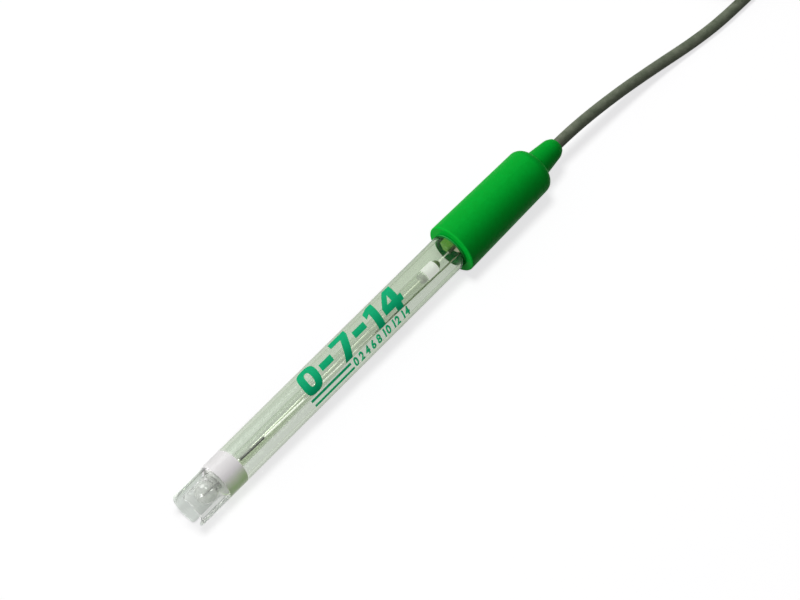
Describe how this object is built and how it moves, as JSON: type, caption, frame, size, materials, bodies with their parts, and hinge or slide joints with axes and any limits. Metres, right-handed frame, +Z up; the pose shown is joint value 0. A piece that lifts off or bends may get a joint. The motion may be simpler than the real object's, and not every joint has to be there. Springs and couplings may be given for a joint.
{
  "type": "ph electrode",
  "caption": "Clear-bodied combination pH electrode with a guarded glass bulb, inner glass stem, moulded green end cap and a cable ending in a bayonet plug.",
  "frame": {"origin": "on the bench, under the middle of the electrode between the guard's mouth and the end of the cap's neck", "axes": "+X along the electrode from the bulb to the cable, +Y to its side, +Z up; the shaft rises 1.2 degrees because it rests on the cap's wider rim"},
  "size_m": [0.3493, 0.0454, 0.0169],
  "materials": {
    "clear_tube": "clear moulded plastic, polished",
    "junction_white": "fine porous, matt",
    "stem_glass": "polished",
    "stopper_white": "smooth",
    "sealant": "satin",
    "silver_chloride": "matt",
    "silver_wire": "drawn wire",
    "tinned_joint": "tinned",
    "seal_resin": "cast",
    "core_cream": "smooth",
    "cap_green": "satin moulded",
    "cable_jacket": "satin",
    "tie_black": "satin",
    "boot_black": "satin",
    "plug_nickel": "nickel plated",
    "insulator_white": "smooth",
    "pin_gold": "gold plated",
    "spring_bronze": "rolled",
    "gasket_red": "smooth"
  },
  "bodies": {
    "electrode": {"body_tube": "clear_tube", "junction_plug": "junction_white", "glass_stem": "stem_glass", "stem_stopper": "stopper_white", "stopper_sealant": "sealant", "inner_bead": "silver_chloride", "inner_wire": "silver_wire", "reference_bead": "silver_chloride", "reference_wire": "silver_wire", "core_joint": "tinned_joint", "tube_seal": "seal_resin", "core_insulation": "core_cream", "cable_jacket_end": "cable_jacket", "screen_lead": "tinned_joint", "end_cap": "cap_green", "cable_lead": "cable_jacket", "cable_hank": "cable_jacket", "cable_tail": "cable_jacket", "hank_tie_near": "tie_black", "hank_tie_back": "tie_black", "plug_boot": "boot_black", "crimp_ferrule": "plug_nickel", "plug_shell": "plug_nickel", "plug_insulator": "insulator_white", "centre_pin": "pin_gold", "spring_washer": "spring_bronze", "retaining_ring": "plug_nickel", "plug_gasket": "gasket_red"},
    "coupling": {"coupling_sleeve": "plug_nickel"}
  },
  "joints": [
    {"name": "coupling_turn", "type": "hinge", "parent": "electrode", "child": "coupling", "pos_m": [0.26005, -0.006, 0.00734], "axis": [0.999, 0, -0.045], "continuous": true}
  ]
}
